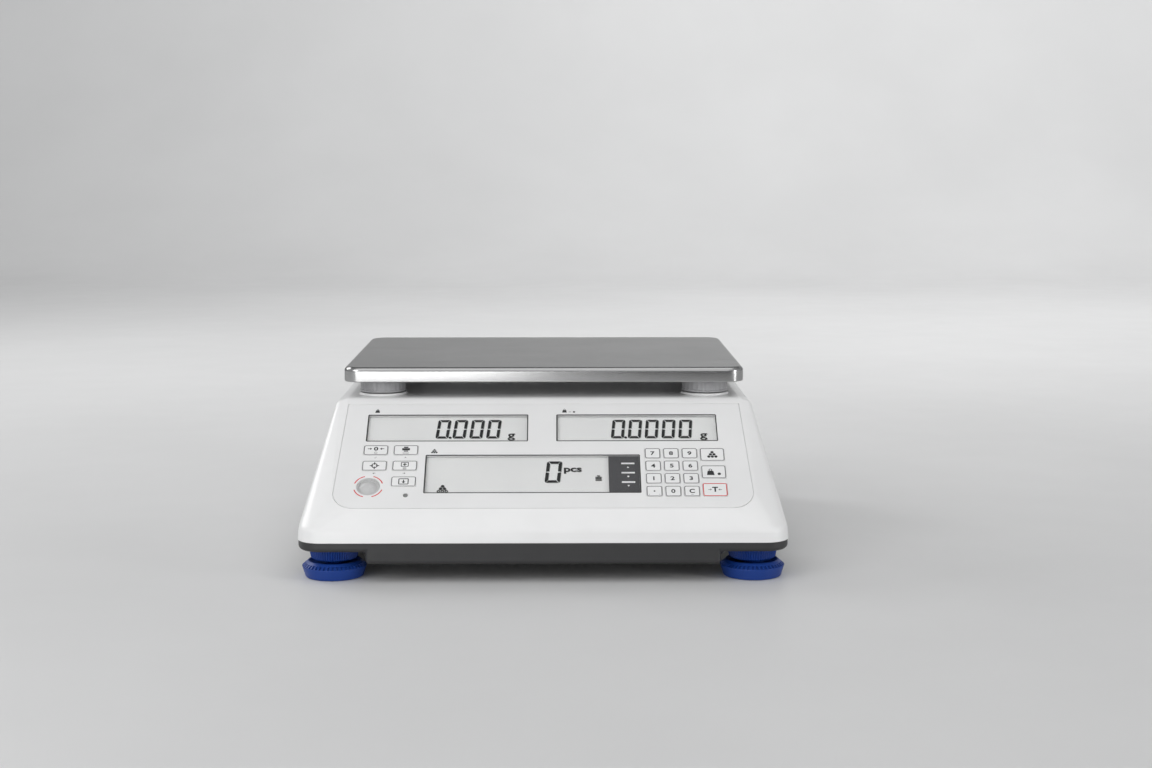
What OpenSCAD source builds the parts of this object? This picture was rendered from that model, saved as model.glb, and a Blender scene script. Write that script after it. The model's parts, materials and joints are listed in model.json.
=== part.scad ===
// Counting scale with a sloping front panel, a lift-off weighing pan and four levelling feet.
// Origin: centre of the resting surface. X to the right, Y to the back, Z up. The panel faces -Y.

/* [Base] */
// Width of the base
base_w = 340; // [334:1:348]
// Depth of the base
base_d = 335; // [332:1:338]
// Plan radius of the base's corners
corner_r = 18; // [14:1:20]
// Height of the shell's lower edge above the table
shell_z = 28; // [27:0.5:29]
// Height of the upright band along the shell's lower edge
band_h = 9; // [8:0.5:10]
// Height of the flat top of the shell
top_z = 115; // [114:0.5:116]
// Thickness of the shell's walls
wall = 3; // [2.5:0.25:3]

/* [Panel] */
// Slope of the front panel from the horizontal, in degrees
panel_tilt = 36; // [35:0.5:37]
// Height of the panel's lower edge
panel_z = 49; // [48:0.5:50]
// How far the panel's lower edge lies behind the front of the base
panel_in = 10.8; // [10:0.2:12]

/* [Pan] */
// Width of the weighing pan
pan_w = 294; // [290:1:298]
// Depth of the weighing pan
pan_d = 220; // [216:1:224]
// Height of the pan's folded rim
pan_h = 11; // [10:0.5:11]
// Height of the weighing surface above the table
pan_z = 137; // [137:0.5:138]
// Distance from the front of the base to the front of the pan
pan_back = 103; // [100:1:106]

/* [Supports] */
// Spacing of the pan supports from left to right
support_dx = 239; // [236:1:242]
// Spacing of the pan supports from front to back
support_dy = 174; // [170:1:176]
// Radius of a support cap
cap_r = 17; // [15:0.5:17]

/* [Feet] */
// Spacing of the feet from left to right
foot_dx = 292; // [290:1:296]
// Spacing of the feet from front to back
foot_dy = 281; // [278:1:283]
// Widest radius of a foot pad
pad_r = 22.5; // [20:0.5:23]
// Radius of the threaded stud
stud_r = 4; // [3:0.5:4]
// Radius of a lock nut
nut_r = 17.5; // [14:0.5:18]

/* [Hidden] */
$fn = 64;
fit = 0.05;                 // radial clearance of a running or nested fit
eps = 0.01;                 // thickness of the thin slices that a hull joins
front_y = -base_d / 2;
panel_y = front_y + panel_in;
panel_len = (top_z - panel_z) / sin(panel_tilt);
break_y = panel_y + panel_len * cos(panel_tilt);

// Shell outline
foot_in = 0.8;              // how far the band leans in over its height
top_half = 143.5;           // half-width of the flat top
top_rear = 152;             // rear edge of the flat top
bevel_out = 8;              // width of the bevel round the top
bevel_drop = 3;             // fall of that bevel
panel_low_half = 148;       // half-width of the panel at its lower edge
panel_corner_r = 17;

// Panel layers, as depths below its face
overlay_t = 0.6;
membrane_t = 0.5;
stack_t = overlay_t + membrane_t;
glass_n = -2;               // face of the display glasses
glass_t = 3;
board_t = 1.6;
board_posts = [[-1, 99], [-1, 60], [-131, 62], [130, 64]];
overlay_low = [146, 2];     // half-width and distance up the panel at the lower edge
overlay_top = [142, 105.5];
overlay_r = 15;
gap = 0.25;                 // clearance round a key or a window

// Windows in the overlay: [x0, v0, width, height]
weight_win = [-126, 67.8, 114, 25.6];
piece_win = [10, 67.8, 114, 25.6];
count_win = [-82.5, 17, 150, 35.6];
WINDOWS = [weight_win, piece_win, count_win];
light_w = 21.5;             // width of the limit lights at the right of the count window
light_bar = [10.4, 1.4];
light_pitch = 9.1;

// Keys: [name, x, v, width, height]
num_key = [11, 10];
num_x = 77.3;
num_v = 17.6;
num_dx = 13.1;
num_dv = 12.3;
NUM_ROWS = [["point", "0", "clear"], ["1", "2", "3"], ["4", "5", "6"], ["7", "8", "9"]];
wide_key = [17.2, 12.5];
menu_key = [17.3, 9.6];
menu_x = -119;
menu_v = 27.3;
menu_dx = 21.3;
menu_dv = 15.4;
KEYS = concat(
    [for (row = [0:3]) for (col = [0:2])
        [str("key_", NUM_ROWS[row][col]), num_x + col * num_dx, num_v + row * num_dv, num_key[0], num_key[1]]],
    [["key_tare", 119.6, 18.9, wide_key[0], wide_key[1]],
     ["key_piece_weight", 119.6, 36.1, wide_key[0], wide_key[1]],
     ["key_sample", 119.6, 53.2, wide_key[0], wide_key[1]],
     ["key_zero", menu_x, menu_v + 2 * menu_dv, menu_key[0], menu_key[1]],
     ["key_print", menu_x + menu_dx, menu_v + 2 * menu_dv, menu_key[0], menu_key[1]],
     ["key_target", menu_x, menu_v + menu_dv, menu_key[0], menu_key[1]],
     ["key_memory_add", menu_x + menu_dx, menu_v + menu_dv, menu_key[0], menu_key[1]],
     ["key_memory", menu_x + menu_dx, menu_v, menu_key[0], menu_key[1]]]);
key_t = 0.65;
key_proud = 0.35;

// Bubble level and status light, on the panel
level_at = [-122, 22.7];
level_r = 8;
led_at = [-95.6, 14.3];
led_r = 1.6;

// Pan and its supports
pan_y = front_y + pan_back + pan_d / 2;
pan_t = 1.5;
pan_corner_r = 13;
pan_edge_r = 3.4;
cap_z = 117.4;
collar_h = 1.7;
collar_r = cap_r + 0.4;
post_r = 7;
support_xy = [for (sx = [-1, 1]) for (sy = [-1, 1]) [sx * support_dx / 2, pan_y + sy * support_dy / 2]];

// Tray
tray_in = 0.5;
tray_z = 13;
tray_raised_z = 21.4;       // underside of the raised corners that clear the lock nuts
floor_t = 2;
tray_wall = 2.5;
pocket_r = 24;
foot_xy = [[-foot_dx / 2, -foot_dy / 2], [foot_dx / 2, -foot_dy / 2],
           [-foot_dx / 2, foot_dy / 2], [foot_dx / 2, foot_dy / 2]];
FOOT_NAMES = ["front_left", "front_right", "rear_left", "rear_right"];
insert_r = 6;
insert_top = 36;

// Load cell and the frame on it
cell = [130, 34, 25];
cell_z = 23;
cell_plate = [54, 44, 5];
bolt_r = 3;
bolt_head_r = 5;
bolt_x = [42, 57];
frame_z = 52;
frame_t = 6;
frame_margin = 9;
frame_r = 12;
stop_xy = [for (sx = [-1, 1]) for (sy = [-1, 1]) [sx * support_dx / 2, pan_y + sy * 60]];
stop_r = 2.5;
stop_gap = 0.6;

// Casing screws: four tall columns reach the roof, two short ones reach the panel
column_xy = [for (sx = [-1, 1]) for (y = [10, 95]) [sx * 140, y]];
front_column_xy = [[-104.5, -149], [104.5, -149]];
screw_r = 1.5;
screw_head_r = 2.8;
column_r = 4.5;
column_z = 24;

// Battery bay and its door
battery = [112, 47, 22];
battery_y = -100.5;
door = [114, 55, 2];
door_front = -128;
pivot_r = 1;

// Sockets on the main board
board_xy = [140, 74];
board_y = 85;
main_board_z = 16.5;
socket_z = 22.6;
jack_x = -35;
port_x = 35;
rear_wall_y = base_d / 2 - tray_in;

// ---- shared shapes ----

module rounded_rect(w, d, r) {
    square([w - 2 * r, d], center = true);
    square([w, d - 2 * r], center = true);
    for (sx = [-1, 1]) for (sy = [-1, 1])
        translate([sx * (w / 2 - r), sy * (d / 2 - r)]) circle(r);
}

module slab(w, d, r, z, h) {
    translate([0, 0, z]) linear_extrude(h) rounded_rect(w, d, r);
}

// The panel's own frame: X across, Y up the slope, Z out of the face, from its lower edge
module on_panel(n = 0) {
    translate([0, panel_y, panel_z]) rotate([panel_tilt, 0, 0]) translate([0, 0, n]) children();
}

// A panel outline that narrows upwards, with rounded lower corners
module panel_shape(low, high, r) {
    hull() {
        for (s = [-1, 1]) {
            translate([s * (low[0] - r), low[1] + r]) circle(r, $fn = 32);
            translate([s * (high[0] - 1), high[1] - 1]) circle(1, $fn = 16);
        }
    }
}

module window_hole(w, grow, n0, n1) {
    translate([w[0] - grow, w[1] - grow, n0]) cube([w[2] + 2 * grow, w[3] + 2 * grow, n1 - n0]);
}

module key_plate(k, grow, n0, n1) {
    r = 1.6 + grow;
    translate([k[1], k[2], n0]) linear_extrude(n1 - n0) rounded_rect(k[3] + 2 * grow, k[4] + 2 * grow, r);
}

module panel_disc(at, r, n0, n1) {
    translate([at[0], at[1], n0]) cylinder(r = r, h = n1 - n0);
}

// ---- housing ----

// The solid form of the shell above its band, or its inside when g is the wall thickness
module upper_body(g) {
    hull() {
        slab(base_w - 2 * (foot_in + g), base_d - 2 * (foot_in + g), corner_r - foot_in,
            shell_z + band_h - g, eps);
        on_panel(-g) linear_extrude(eps)
            panel_shape([panel_low_half - g, g], [top_half - g / 2, panel_len - g / 2], panel_corner_r - g / 2);
        for (ring = [[0, 0], [bevel_out, bevel_drop]])
            translate([-top_half - ring[0] + g, break_y + g / 2, top_z - ring[1] - g])
                cube([2 * (top_half + ring[0] - g), top_rear + ring[0] - g - break_y - g / 2, eps]);
    }
}

module band_body(g) {
    hull() {
        slab(base_w - 2 * g, base_d - 2 * g, corner_r - g / 2, shell_z, eps);
        slab(base_w - 2 * (foot_in + g), base_d - 2 * (foot_in + g), corner_r - foot_in,
            shell_z + band_h, eps);
    }
}

module upper_shell() {
    color("whitesmoke") difference() {
        union() {
            difference() {
                union() {
                    band_body(0);
                    upper_body(0);
                }
                upper_body(wall);
                band_body(wall);
                slab(base_w - 2 * wall, base_d - 2 * wall, corner_r - wall, shell_z - 1, 1.5);
            }
            for (p = support_xy) translate([p[0], p[1], top_z - 1]) cylinder(r = collar_r, h = collar_h + 1);
            for (p = column_xy)
                translate([p[0], p[1], column_z]) cylinder(r = column_r, h = top_z - wall + 1 - column_z);
            for (p = front_column_xy) {
                rise = panel_z + (p[1] - panel_y) * tan(panel_tilt) - wall - column_z;
                translate([p[0], p[1], column_z]) cylinder(r = column_r, h = rise);
            }
            on_panel() for (p = board_posts) panel_disc(p, 3, glass_n - glass_t, 0.1 - wall);
        }
        for (p = support_xy) translate([p[0], p[1], top_z - wall - 2]) cylinder(r = post_r + 2, h = 10);
        for (p = concat(column_xy, front_column_xy))
            translate([p[0], p[1], column_z - 1]) cylinder(r = screw_r + fit, h = 14);
        on_panel() {
            translate([0, 0, -stack_t]) linear_extrude(stack_t + 1)
                panel_shape([overlay_low[0] + gap, overlay_low[1] - gap],
                    [overlay_top[0] + gap, overlay_top[1] + gap], overlay_r);
            for (w = WINDOWS) window_hole(w, 3, -10, 0);
            panel_disc(level_at, level_r + fit, -10, 0);
            panel_disc(led_at, led_r + gap, -10, 0);
        }
    }
}

module panel_layer(n0, n1, key_holes) {
    on_panel() difference() {
        translate([0, 0, n0]) linear_extrude(n1 - n0) panel_shape(overlay_low, overlay_top, overlay_r);
        for (w = WINDOWS) window_hole(w, 0, n0 - 1, n1 + 1);
        panel_disc(level_at, level_r + gap, n0 - 1, n1 + 1);
        panel_disc(led_at, led_r + gap, n0 - 1, n1 + 1);
        if (key_holes) for (k = KEYS) key_plate(k, gap, n0 - 1, n1 + 1);
    }
}

module front_overlay() {
    color("gainsboro") panel_layer(-overlay_t, 0, true);
}

module key_membrane() {
    color("lightgray") panel_layer(-stack_t, -overlay_t, false);
}

module key(k) {
    color("white") on_panel() key_plate(k, 0, key_proud - key_t, key_proud);
}

module window(w) {
    color("lightcyan", 0.3) on_panel() window_hole(w, -fit, -overlay_t, 0);
}

module lcd(w) {
    color("silver") on_panel() window_hole(w, 2.5, glass_n - glass_t, glass_n);
}

module count_lcd() {
    lcd([count_win[0], count_win[1], count_win[2] - light_w - 2.6, count_win[3]]);
}

module limit_lights() {
    x0 = count_win[0] + count_win[2] - light_w;
    mid_v = count_win[1] + count_win[3] / 2 + 1.4;
    color("dimgray") on_panel() {
        translate([x0, count_win[1] - 2.5, glass_n - glass_t])
            cube([light_w + 2.5, count_win[3] + 5, glass_t]);
        for (i = [-1:1])
            translate([x0 + light_w / 2 + 2 - light_bar[0] / 2, mid_v + i * light_pitch - light_bar[1] / 2, glass_n])
                cube([light_bar[0], light_bar[1], 0.2]);
    }
}

// A glass dome over the bubble, on a plain barrel
module level_vial() {
    crown = 1.6;
    color("lightgray") on_panel() translate([level_at[0], level_at[1], -9]) rotate_extrude()
        polygon(concat([[0, 0], [level_r, 0], [level_r, 8.6]],
            [for (a = [10:10:90]) [level_r * cos(a), 8.6 + crown * sin(a)]]));
}

module display_board() {
    top = glass_n - glass_t;
    color("darkgreen") difference() {
        on_panel() difference() {
            union() {
                translate([-136, 8, top - board_t]) cube([270, 94, board_t]);
                panel_disc(led_at, led_r, top - 0.1, -0.1);
                translate([-20, 60, top - board_t - 6]) cube([40, 8, 6]);
                translate([-60, 30, top - board_t - 2]) cube([18, 18, 2]);
            }
            panel_disc(level_at, level_r + 1, top - board_t - 1, top + 1);
        }
        for (p = front_column_xy) bossed_column(p, column_r + 0.8, column_z, panel_z + 15);
    }
}

// ---- tray ----

module foot_pockets(r) {
    for (p = foot_xy) translate(p) {
        sx = sign(p[0]);
        sy = sign(p[1]);
        circle(r);
        translate([sx > 0 ? 0 : -60, -r]) square([60, 2 * r]);
        translate([-r, sy > 0 ? 0 : -60]) square([2 * r, 60]);
        translate([sx > 0 ? 0 : -60, sy > 0 ? 0 : -60]) square(60);
    }
}

module tray_outline(inset) {
    rounded_rect(base_w - 2 * (tray_in + inset), base_d - 2 * (tray_in + inset), corner_r - tray_in - inset / 2);
}

module well_outline(inset) {
    difference() {
        tray_outline(inset);
        foot_pockets(pocket_r + inset);
    }
}

module ring_band(z0, z1) {
    translate([0, 0, z0]) linear_extrude(z1 - z0) children();
}

module bossed_column(p, r, z0, z1) {
    translate([p[0], p[1], z0]) cylinder(r = r, h = z1 - z0);
}

module lower_tray() {
    color([0.24, 0.24, 0.25]) difference() {
        union() {
            ring_band(tray_z, tray_z + floor_t) well_outline(0);
            ring_band(tray_z, tray_raised_z + floor_t) difference() {
                well_outline(0);
                well_outline(tray_wall);
            }
            ring_band(tray_raised_z, tray_raised_z + floor_t) difference() {
                tray_outline(0);
                well_outline(tray_wall);
            }
            ring_band(tray_raised_z, shell_z) difference() {
                tray_outline(0);
                tray_outline(tray_wall);
            }
            for (p = foot_xy) bossed_column(p, 9, tray_raised_z, insert_top);
            for (p = concat(column_xy, front_column_xy)) bossed_column(p, 5, tray_z, column_z);
            for (p = stop_xy) bossed_column(p, 5.5, tray_z, 40);
            translate([-cell[0] / 2 - 7, pan_y - 24, tray_z]) cube([60, 48, 5]);
            for (sx = [-1, 1]) translate([sx * (door[0] / 2 + 2) - 1, battery_y - 20, tray_z]) cube([2, 40, 14]);
            for (x = [-60, 60]) for (y = [board_y + 6, board_y + 62])
                translate([x, y, tray_z]) cylinder(r = 3.5, h = main_board_z - tray_z);
        }
        for (p = foot_xy) bossed_column(p, insert_r + fit, tray_raised_z - 1, insert_top + 1);
        for (p = concat(column_xy, front_column_xy)) {
            bossed_column(p, screw_head_r + 0.3, tray_z - 1, tray_z + 3);
            bossed_column(p, screw_r + 0.3, tray_z, column_z + 1);
        }
        for (p = stop_xy) bossed_column(p, stop_r + fit, 20, 41);
        for (x = bolt_x) {
            bossed_column([-x, pan_y], bolt_head_r + 0.4, tray_z - 1, tray_z + 3.2);
            bossed_column([-x, pan_y], bolt_r + 0.3, tray_z, tray_z + 6);
        }
        translate([-door[0] / 2 - 0.5, door_front - 1, tray_z - 1]) cube([door[0] + 1, door[1] + 1.5, 3.5]);
        translate([jack_x, rear_wall_y + 1, socket_z]) rotate([90, 0, 0]) cylinder(r = 4.2, h = 6);
        translate([port_x, rear_wall_y + 1, socket_z]) rotate([90, 0, 0]) linear_extrude(6) port_shape(0.3);
    }
}

module casing_screws() {
    color("silver") for (p = concat(column_xy, front_column_xy)) {
        bossed_column(p, screw_head_r, tray_z + 1, tray_z + 3);
        bossed_column(p, screw_r, tray_z + 3, column_z + 11);
    }
}

module battery_door() {
    color([0.24, 0.24, 0.25]) {
        translate([-door[0] / 2, door_front + pivot_r, tray_z]) cube([door[0], door[1] - pivot_r - 0.5, door[2]]);
        translate([-door[0] / 2, door_front + pivot_r, tray_z + pivot_r]) rotate([0, 90, 0])
            cylinder(r = pivot_r, h = door[0]);
    }
}

module battery() {
    color("royalblue") translate([-battery[0] / 2, battery_y - battery[1] / 2, tray_z + door[2] + 0.3])
        cube(battery);
}

// ---- electronics ----

module main_board() {
    top = main_board_z + board_t;
    color("darkgreen") {
        translate([-board_xy[0] / 2, board_y, main_board_z]) cube([board_xy[0], board_xy[1], board_t]);
        translate([-50, board_y + 20, top]) cube([14, 14, 2]);
        translate([0, board_y + 15, top]) cube([22, 16, 8]);
        for (x = [-20, -8, 40]) translate([x, board_y + 45, top]) cylinder(r = 4, h = 9);
        translate([-60, board_y + 4, top]) cube([10, 24, 7]);
    }
}

module dc_jack() {
    color("black") difference() {
        union() {
            translate([jack_x - 4.5, 149, main_board_z + board_t]) cube([9, 14.4, 9]);
            translate([jack_x, 163.3, socket_z]) rotate([-90, 0, 0]) cylinder(r = 3.9, h = 2.2);
        }
        difference() {
            translate([jack_x, 156, socket_z]) rotate([-90, 0, 0]) cylinder(r = 2.75, h = 12);
            translate([jack_x, 155, socket_z]) rotate([-90, 0, 0]) cylinder(r = 1, h = 10);
        }
    }
}

// D-shaped outline of the serial connector
module port_shape(grow) {
    polygon([[-8.4 - grow, 4 + grow], [8.4 + grow, 4 + grow], [7.1 + grow, -4 - grow], [-7.1 - grow, -4 - grow]]);
}

module serial_port() {
    color("silver") {
        translate([port_x - 15.5, 162, socket_z - 4.4]) cube([31, 1.4, 10.4]);
        translate([port_x - 9, 150, main_board_z + board_t]) cube([18, 12, 8.5]);
        translate([port_x, 166, socket_z]) rotate([90, 0, 0]) linear_extrude(2.6) port_shape(0);
    }
}

// ---- weighing cell and frame ----

module load_cell() {
    color("lightsteelblue") difference() {
        translate([-cell[0] / 2, pan_y - cell[1] / 2, cell_z]) cube(cell);
        for (s = [-1, 1]) translate([s * 8, pan_y - cell[1], cell_z + cell[2] / 2]) rotate([-90, 0, 0])
            cylinder(r = 7, h = 2 * cell[1]);
        translate([-8, pan_y - cell[1], cell_z + cell[2] / 2 - 3]) cube([16, 2 * cell[1], 6]);
        for (x = bolt_x) for (s = [-1, 1])
            bossed_column([s * x, pan_y], bolt_r + fit, cell_z - 1, cell_z + cell[2] + 1);
    }
}

module load_cell_plate() {
    color("slategray") difference() {
        translate([-cell[0] / 2 - 4, pan_y - cell_plate[1] / 2, cell_z - cell_plate[2]]) cube(cell_plate);
        for (x = bolt_x) bossed_column([-x, pan_y], bolt_r + 0.3, cell_z - 6, cell_z + 1);
    }
}

module load_cell_bolts() {
    color("silver") for (x = bolt_x) {
        bossed_column([-x, pan_y], bolt_head_r, tray_z + 0.4, tray_z + 3.2);
        bossed_column([-x, pan_y], bolt_r, tray_z + 3.2, cell_z + 18);
    }
}

module frame_bolts() {
    color("silver") for (x = bolt_x) {
        bossed_column([x, pan_y], bolt_head_r, frame_z + frame_t, frame_z + frame_t + 4);
        bossed_column([x, pan_y], bolt_r, cell_z + 8, frame_z + frame_t);
    }
}

module overload_stops() {
    color("silver") for (p = stop_xy) {
        bossed_column(p, stop_r, 21, frame_z - stop_gap);
        bossed_column(p, 4.2, 40.1, 43);
    }
}

// A plate with a pad on the cell's free end and a post at each corner
module weighing_frame() {
    color("darkgray") difference() {
        union() {
            translate([0, pan_y, 0])
                slab(support_dx + 2 * frame_margin, support_dy + 2 * frame_margin, frame_r, frame_z, frame_t);
            translate([bolt_x[0] - 9, pan_y - 16, cell_z + cell[2]]) cube([33, 32, frame_z - cell_z - cell[2]]);
            for (p = support_xy) bossed_column(p, post_r, frame_z + frame_t - 1, pan_z - 8);
        }
        for (x = bolt_x) bossed_column([x, pan_y], bolt_r + fit, cell_z, frame_z + frame_t + 1);
    }
}

module support_caps() {
    color("gray") for (p = support_xy) difference() {
        bossed_column(p, cap_r, cap_z, pan_z - pan_t - 0.1);
        bossed_column(p, post_r + fit, cap_z - 1, pan_z - 7.9);
    }
}

// ---- pan ----

module pan_corner() {
    rotate_extrude($fn = 48) polygon(concat(
        [[0, -pan_h], [pan_corner_r, -pan_h]],
        [for (a = [0:15:90]) [pan_corner_r - pan_edge_r + pan_edge_r * cos(a), -pan_edge_r + pan_edge_r * sin(a)]],
        [[0, 0]]));
}

module pan() {
    color("silver") translate([0, pan_y, pan_z]) difference() {
        hull() for (sx = [-1, 1]) for (sy = [-1, 1])
            translate([sx * (pan_w / 2 - pan_corner_r), sy * (pan_d / 2 - pan_corner_r), 0]) pan_corner();
        slab(pan_w - 2 * pan_t, pan_d - 2 * pan_t, pan_corner_r - pan_t, -pan_h - 1, pan_h + 1 - pan_edge_r);
        slab(pan_w - 2 * pan_edge_r, pan_d - 2 * pan_edge_r, pan_corner_r - pan_edge_r,
            -pan_h - 1, pan_h + 1 - pan_t);
    }
}

// ---- levelling feet ----

module foot_pad(p) {
    color("mediumblue") translate([p[0], p[1], 0]) rotate_extrude() polygon([
        [0, 0], [pad_r - 3, 0], [pad_r - 2.2, 0.7], [pad_r, 7.8], [pad_r - 4.2, 11.6], [pad_r - 5.4, 11.6],
        [pad_r - 8, 9.6], [8, 9.6], [7, 11], [stud_r + fit, 11], [stud_r + fit, 2.6], [0, 2.6]]);
}

module foot_stud(p) {
    color("silver") bossed_column(p, stud_r, 2.8, 44);
}

module lock_nut(p) {
    color("mediumblue") translate([p[0], p[1], 0]) rotate_extrude() polygon([
        [stud_r + fit, 12.6], [nut_r - 2.8, 12.6], [nut_r - 1.2, 13.8], [nut_r, 19.8], [nut_r - 1.2, 21.3],
        [stud_r + fit, 21.3]]);
}

module foot_inserts() {
    color("goldenrod") for (p = foot_xy) difference() {
        bossed_column(p, insert_r, tray_raised_z, insert_top);
        bossed_column(p, stud_r + fit, tray_raised_z - 1, insert_top + 1);
    }
}

// ---- assembly ----

lower_tray();
upper_shell();
front_overlay();
key_membrane();
window(weight_win);  // weight_window
window(piece_win);  // piece_weight_window
window(count_win);  // count_window
lcd(weight_win);  // weight_lcd
lcd(piece_win);  // piece_weight_lcd
count_lcd();
limit_lights();
level_vial();
display_board();
main_board();
load_cell();
load_cell_plate();
load_cell_bolts();
overload_stops();
battery();
battery_door();
dc_jack();
serial_port();
casing_screws();
foot_inserts();
weighing_frame();
frame_bolts();
support_caps();
pan();
for (i = [0:3]) {
    foot_pad(foot_xy[i]);
    foot_stud(foot_xy[i]);
    lock_nut(foot_xy[i]);
}
for (k = KEYS) key(k);
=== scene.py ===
"""Looks of the counting scale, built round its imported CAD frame.

Blender works in metres, with X to the right, Y to the back and Z up. Meshes are gathered in
millimetres and scaled once. The front panel has a frame of its own: x across, v up the slope
and n out of its face.
"""

import json
import math

import bmesh
import bpy
from mathutils import Matrix, Vector


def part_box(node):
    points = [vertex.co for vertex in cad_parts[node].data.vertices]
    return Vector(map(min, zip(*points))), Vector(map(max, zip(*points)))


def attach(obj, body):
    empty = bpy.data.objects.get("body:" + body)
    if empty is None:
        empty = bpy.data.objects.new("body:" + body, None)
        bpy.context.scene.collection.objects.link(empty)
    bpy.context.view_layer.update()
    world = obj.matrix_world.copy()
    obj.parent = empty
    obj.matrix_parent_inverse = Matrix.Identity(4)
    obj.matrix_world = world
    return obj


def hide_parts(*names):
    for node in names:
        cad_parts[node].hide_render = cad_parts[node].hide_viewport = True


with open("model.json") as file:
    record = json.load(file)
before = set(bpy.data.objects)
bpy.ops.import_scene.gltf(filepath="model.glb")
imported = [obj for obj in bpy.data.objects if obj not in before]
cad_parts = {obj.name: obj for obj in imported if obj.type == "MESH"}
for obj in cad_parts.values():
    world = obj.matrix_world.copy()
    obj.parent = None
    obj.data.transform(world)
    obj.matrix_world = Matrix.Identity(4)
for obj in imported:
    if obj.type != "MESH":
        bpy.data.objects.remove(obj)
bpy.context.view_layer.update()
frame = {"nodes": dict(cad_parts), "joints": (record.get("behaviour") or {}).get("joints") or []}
CAD = frame["nodes"]
MM = 0.001
WELD = 2e-6                 # metres; vertices closer than this are joined after a cut
FLAT = math.radians(0.4)    # faces turned less than this from each other are joined
CORNERS = ((1, 1), (-1, 1), (-1, -1), (1, -1))


def box_mm(node):
    """Lowest and highest corner of a CAD node, in millimetres."""
    low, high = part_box(node)
    return low / MM, high / MM


def centre_mm(node):
    low, high = box_mm(node)
    return (low + high) / 2


def middle_and_half(low, high):
    """Middle and half sizes of a box, in its first two directions."""
    middle = ((low[0] + high[0]) / 2, (low[1] + high[1]) / 2)
    return middle, ((high[0] - low[0]) / 2, (high[1] - low[1]) / 2)


def corners_of(points, count=3):
    """Lowest and highest corner of the box round some points."""
    low = Vector([min(p[i] for p in points) for i in range(count)])
    high = Vector([max(p[i] for p in points) for i in range(count)])
    return low, high


# ---- the panel's frame ----

FILM = 0.6                  # thickness of the printed film
FILM_FROM_EDGE = 2.0        # from the panel's lower edge to the film


def panel_frame():
    """Matrix from the panel's x, v and n to the shared frame, in millimetres."""
    press = next(j for j in frame["joints"] if j["name"] == "key_5_press")
    normal = -Vector(press["axis"]).normalized()
    across = Vector((1, 0, 0))
    up = normal.cross(across)
    low, _ = box_mm("front_overlay")
    edge = Vector((0, low.y, low.z + FILM * normal.z)) - FILM_FROM_EDGE * up
    matrix = Matrix((across, up, normal)).transposed().to_4x4()
    matrix.translation = edge
    return matrix


PANEL = panel_frame()


def panel_extent(node):
    """Lowest and highest x, v and n of a CAD node in the panel's frame."""
    inverse = PANEL.inverted()
    return corners_of([inverse @ (v.co / MM) for v in CAD[node].data.vertices])


# ---- outlines and lofts ----

def quarter_turn(steps):
    """Angles over a quarter turn, both ends included."""
    return [math.pi / 2 * i / steps for i in range(steps + 1)]


def rounded_rect(half_x, half_y, radius, centre=(0, 0), steps=8):
    """Points of a rounded rectangle, anticlockwise."""
    points = []
    for quarter, (sx, sy) in enumerate(CORNERS):
        for i in range(steps + 1):
            a = math.pi / 2 * (quarter + i / steps)
            points.append((centre[0] + sx * (half_x - radius) + radius * math.cos(a),
                           centre[1] + sy * (half_y - radius) + radius * math.sin(a)))
    return points


def circle(radius, centre, steps=48):
    angles = [2 * math.pi * i / steps for i in range(steps)]
    return [(centre[0] + radius * math.cos(a), centre[1] + radius * math.sin(a)) for a in angles]


def ring(outline, z):
    return [(x, y, z) for x, y in outline]


def loft(rings, closed=False):
    """A skin over rings of equal length, with its ends capped or joined to each other."""
    count = len(rings[0])
    verts = [p for r in rings for p in r]
    faces = []
    for i in range(len(rings) if closed else len(rings) - 1):
        a, b = i * count, (i + 1) % len(rings) * count
        for j in range(count):
            k = (j + 1) % count
            faces.append((a + j, a + k, b + k, b + j))
    if not closed:
        faces.append(tuple(reversed(range(count))))
        faces.append(tuple(range(len(verts) - count, len(verts))))
    return verts, faces


def prism(outline, z0, z1):
    return loft([ring(outline, z0), ring(outline, z1)])


def frame_prism(outer, inner, z0, z1):
    """A closed band between two outlines with the same number of points."""
    return loft([ring(outer, z0), ring(outer, z1), ring(inner, z1), ring(inner, z0)], closed=True)


def rounded_wall(z0, z1, edge):
    """(inset, z) pairs up a wall whose two edges are rounded."""
    low = [(edge * (1 - math.sin(a)), z0 + edge * (1 - math.cos(a))) for a in quarter_turn(3)]
    return low + [(inset, z1 - (z - z0)) for inset, z in reversed(low)]


def stacked(profile, centre, half, radius, steps):
    """A skin over rounded rectangles, from (inset, z) pairs."""
    rings = []
    for inset, z in profile:
        corner = max(radius - inset, 0.02)
        rings.append(ring(rounded_rect(half[0] - inset, half[1] - inset, corner, centre, steps), z))
    return loft(rings)


def block(low, high, radius, edge, steps=6):
    """A box with rounded upright corners and rounded edges."""
    return stacked(rounded_wall(low[2], high[2], edge), *middle_and_half(low, high), radius, steps)


def turned(profile, centre, steps, closed=False, waves=None):
    """A turned form from (radius, z) pairs. waves(angle, radius, z) gives a cut inwards and down."""
    rings = []
    for radius, z in profile:
        points = []
        for i in range(steps):
            a = 2 * math.pi * i / steps
            inwards, down = waves(a, radius, z) if waves else (0, 0)
            r = radius - inwards
            points.append((centre[0] + r * math.cos(a), centre[1] + r * math.sin(a), z - down))
        rings.append(points)
    return loft(rings, closed)


def link(name, data):
    """A new object in the scene."""
    obj = bpy.data.objects.new(name, data)
    bpy.context.scene.collection.objects.link(obj)
    return obj


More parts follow.
